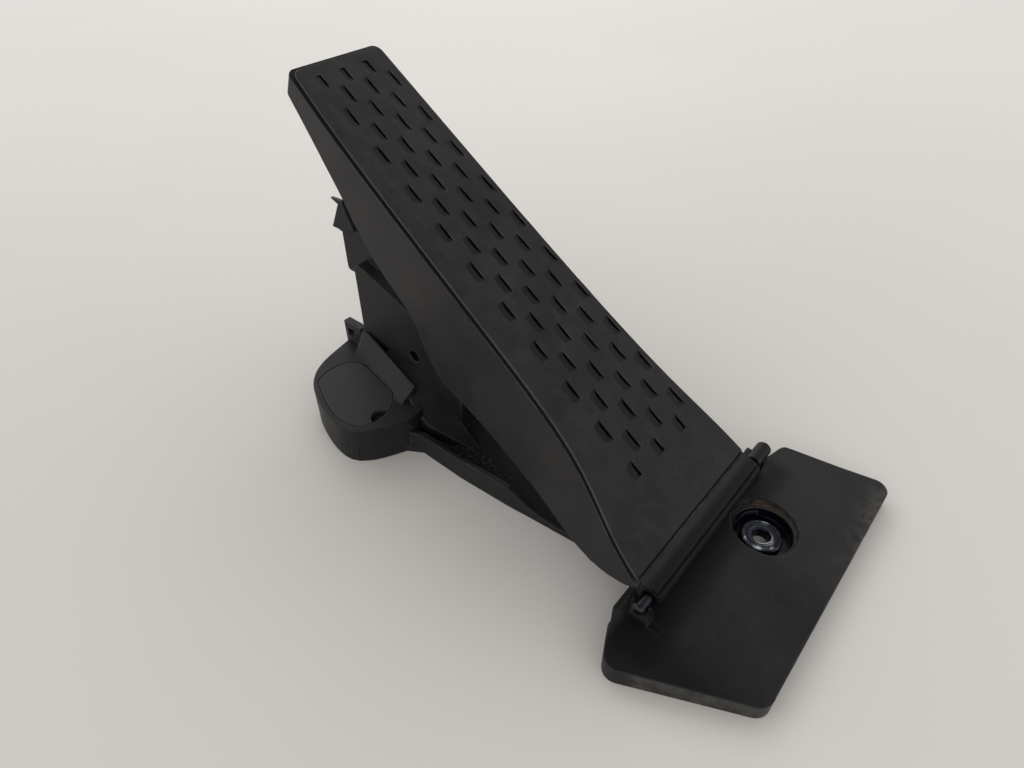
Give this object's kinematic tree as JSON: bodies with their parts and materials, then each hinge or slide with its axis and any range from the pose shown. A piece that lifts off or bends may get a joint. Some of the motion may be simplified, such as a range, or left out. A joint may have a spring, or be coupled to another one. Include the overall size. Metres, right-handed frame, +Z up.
{
  "type": "accelerator pedal",
  "caption": "Floor-hinged accelerator pedal: tapered treadle with fanned tread slits on a hinge pin, over a moulded base with foot plate, sprung lever, sensor and bushed screw holes.",
  "frame": {"origin": "on the mounting face, under the line where the tread face starts, near the middle of the hinge", "axes": "+X along the hinge pin to the right looking from heel to toe, +Y from the foot plate to the free end of the treadle, +Z up from the mounting face"},
  "size_m": [0.1495, 0.26, 0.1584],
  "materials": {
    "tread_plastic": "moulded glass-filled plastic, faintly grained, dusty",
    "base_plastic": "moulded glass-filled plastic, satin, scuffed edges",
    "lever_plastic": "natural acetal, satin",
    "bright_steel": "drawn steel pin, bright",
    "zinc_steel": "zinc plated, clear passivated",
    "spring_steel": "drawn spring wire",
    "seal_rubber": "moulded rubber",
    "board": "coated circuit board",
    "chip": "moulded chip body",
    "magnet_steel": "sintered magnet",
    "terminal_brass": "tinned brass blades"
  },
  "bodies": {
    "base": {"base": "base_plastic", "hinge_pin": "bright_steel", "pin_cap": "base_plastic", "foot_bush": "zinc_steel", "ear_bush": "zinc_steel", "back_bush": "zinc_steel", "ear_cap": "base_plastic", "bottom_cover": "base_plastic", "sensor_lid": "base_plastic", "lid_seal": "seal_rubber", "lid_screws": "zinc_steel", "sensor_board": "board", "hall_sensors": "chip", "terminals": "terminal_brass", "stop_buffer": "seal_rubber", "spring_outer": "spring_steel", "spring_inner": "spring_steel"},
    "pedal": {"treadle": "tread_plastic", "roller": "lever_plastic", "roller_pin": "bright_steel"},
    "lever": {"drive_lever": "lever_plastic", "lever_shaft": "bright_steel", "magnet_carrier": "lever_plastic", "magnet": "magnet_steel", "spring_seat": "lever_plastic"}
  },
  "joints": [
    {"name": "treadle_hinge", "type": "hinge", "parent": "base", "child": "pedal", "pos_m": [0, -0.003, 0.022], "axis": [-1, 0, 0], "range_deg": [0, 12], "stiffness_Nm_per_rad": 14, "springref_deg": -11.46},
    {"name": "lever_hinge", "type": "hinge", "parent": "base", "child": "lever", "pos_m": [-0.008, 0.15, 0.034], "axis": [1, 0, 0], "range_deg": [0, 17.5], "deforming": ["spring_outer", "spring_inner"]}
  ],
  "couplings": [
    {"joint": "lever_hinge", "follows": "treadle_hinge", "ratio": 1.45}
  ]
}
